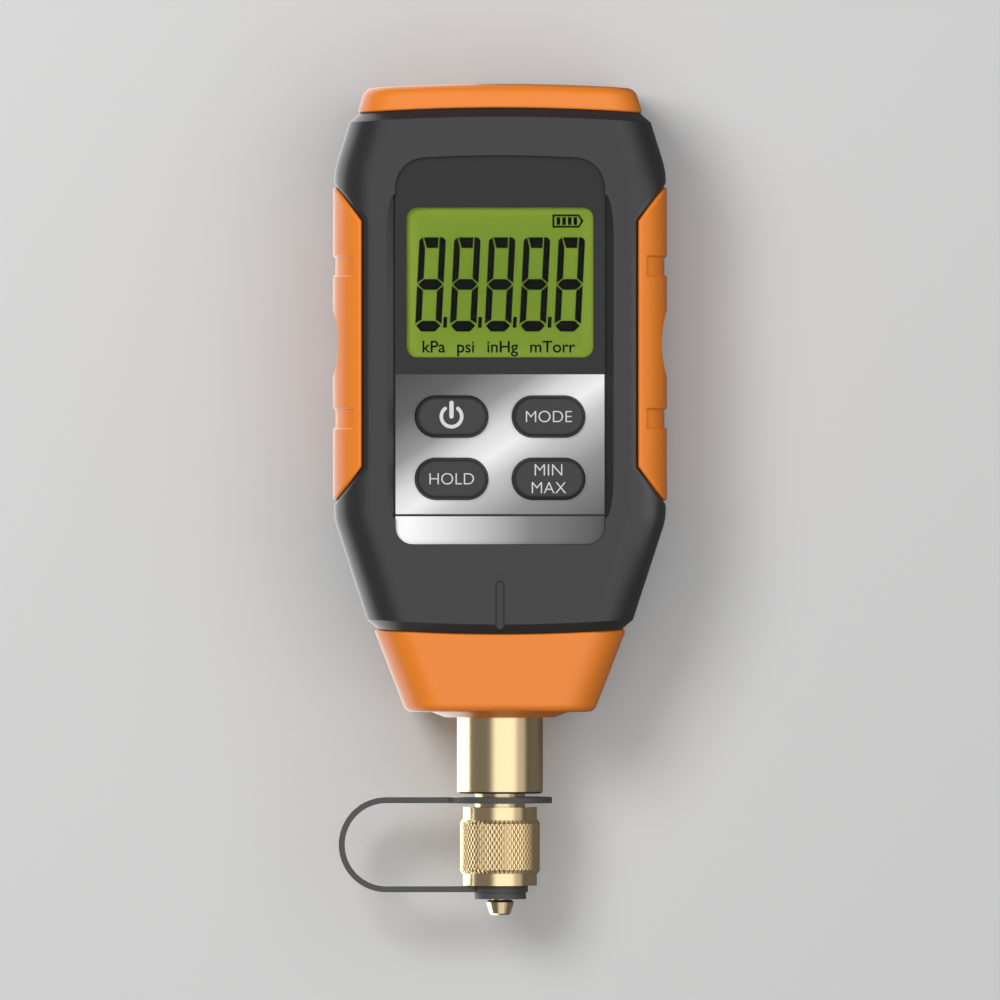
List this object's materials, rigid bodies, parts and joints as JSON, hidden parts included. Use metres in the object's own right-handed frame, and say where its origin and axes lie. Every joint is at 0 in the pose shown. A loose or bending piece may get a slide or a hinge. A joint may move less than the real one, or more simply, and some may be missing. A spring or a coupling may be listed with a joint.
{
  "type": "digital vacuum gauge",
  "caption": "Handheld electronic vacuum gauge with a segment display, four keys, soft bumpers and a capped brass flare fitting.",
  "frame": {"origin": "under the middle of the whole gauge, on the surface that its back lies on", "axes": "+Z out of the display face, +Y towards the top bumper, with the brass fitting at the -Y end"},
  "size_m": [0.0582, 0.1452, 0.0323],
  "materials": {
    "case_plastic": "satin moulded grey plastic with fine texture",
    "bumper_rubber": "soft satin orange rubber",
    "label_print": "printed overlay, dark above and brushed silver below",
    "window_clear": "clear acrylic",
    "display_green": "backlit green segment display",
    "key_rubber": "satin dark grey rubber-coated key",
    "silicone": "translucent silicone",
    "board_green": "solder mask",
    "black_plastic": "black moulded plastic",
    "screw_steel": "zinc plated steel",
    "battery_jacket": "plain lacquered jacket",
    "brass": "turned bright brass",
    "strap_plastic": "satin grey moulded strap",
    "sensor_metal": "nickel plated can",
    "seal_rubber": "black nitrile"
  },
  "bodies": {
    "root": {"front_shell": "case_plastic", "back_shell": "case_plastic", "battery_door": "case_plastic", "top_bumper": "bumper_rubber", "bottom_boot": "bumper_rubber", "left_grip": "bumper_rubber", "right_grip": "bumper_rubber", "face_label": "label_print", "lcd_window": "window_clear", "lcd_panel": "display_green", "lcd_frame": "black_plastic", "lcd_connector": "silicone", "keypad_mat": "silicone", "circuit_board": "board_green", "board_screws": "screw_steel", "board_parts": "black_plastic", "case_screws": "screw_steel", "battery": "battery_jacket", "battery_clip": "black_plastic", "door_screw": "screw_steel", "brass_fitting": "brass", "sensor_seal": "seal_rubber", "vacuum_sensor": "sensor_metal", "strap": "strap_plastic"},
    "key_power_body": {"key_power": "key_rubber"},
    "key_mode_body": {"key_mode": "key_rubber"},
    "key_hold_body": {"key_hold": "key_rubber"},
    "key_minmax_body": {"key_minmax": "key_rubber"},
    "cap_carrier": {"cap_seal": "seal_rubber"},
    "cap": {"cap_shell": "brass"}
  },
  "joints": [
    {"name": "key_power_press", "type": "slide", "parent": "root", "child": "key_power_body", "axis": [0, 0, -1], "range_m": [0, 0.0008], "stiffness_N_per_m": 1500, "deforming": ["keypad_mat"]},
    {"name": "key_mode_press", "type": "slide", "parent": "root", "child": "key_mode_body", "axis": [0, 0, -1], "range_m": [0, 0.0008], "stiffness_N_per_m": 1500, "deforming": ["keypad_mat"]},
    {"name": "key_hold_press", "type": "slide", "parent": "root", "child": "key_hold_body", "axis": [0, 0, -1], "range_m": [0, 0.0008], "stiffness_N_per_m": 1500, "deforming": ["keypad_mat"]},
    {"name": "key_minmax_press", "type": "slide", "parent": "root", "child": "key_minmax_body", "axis": [0, 0, -1], "range_m": [0, 0.0008], "stiffness_N_per_m": 1500, "deforming": ["keypad_mat"]},
    {"name": "cap_travel", "type": "slide", "parent": "root", "child": "cap_carrier", "axis": [0, -1, 0], "range_m": [0, 0.00635], "deforming": ["strap"]},
    {"name": "cap_turn", "type": "hinge", "parent": "cap_carrier", "child": "cap", "pos_m": [0, -0.06, 0.016], "axis": [0, -1, 0], "range_deg": [0, 1800.5]}
  ],
  "couplings": [
    {"joint": "cap_turn", "follows": "cap_travel", "rad_per_m": 4947.4}
  ]
}
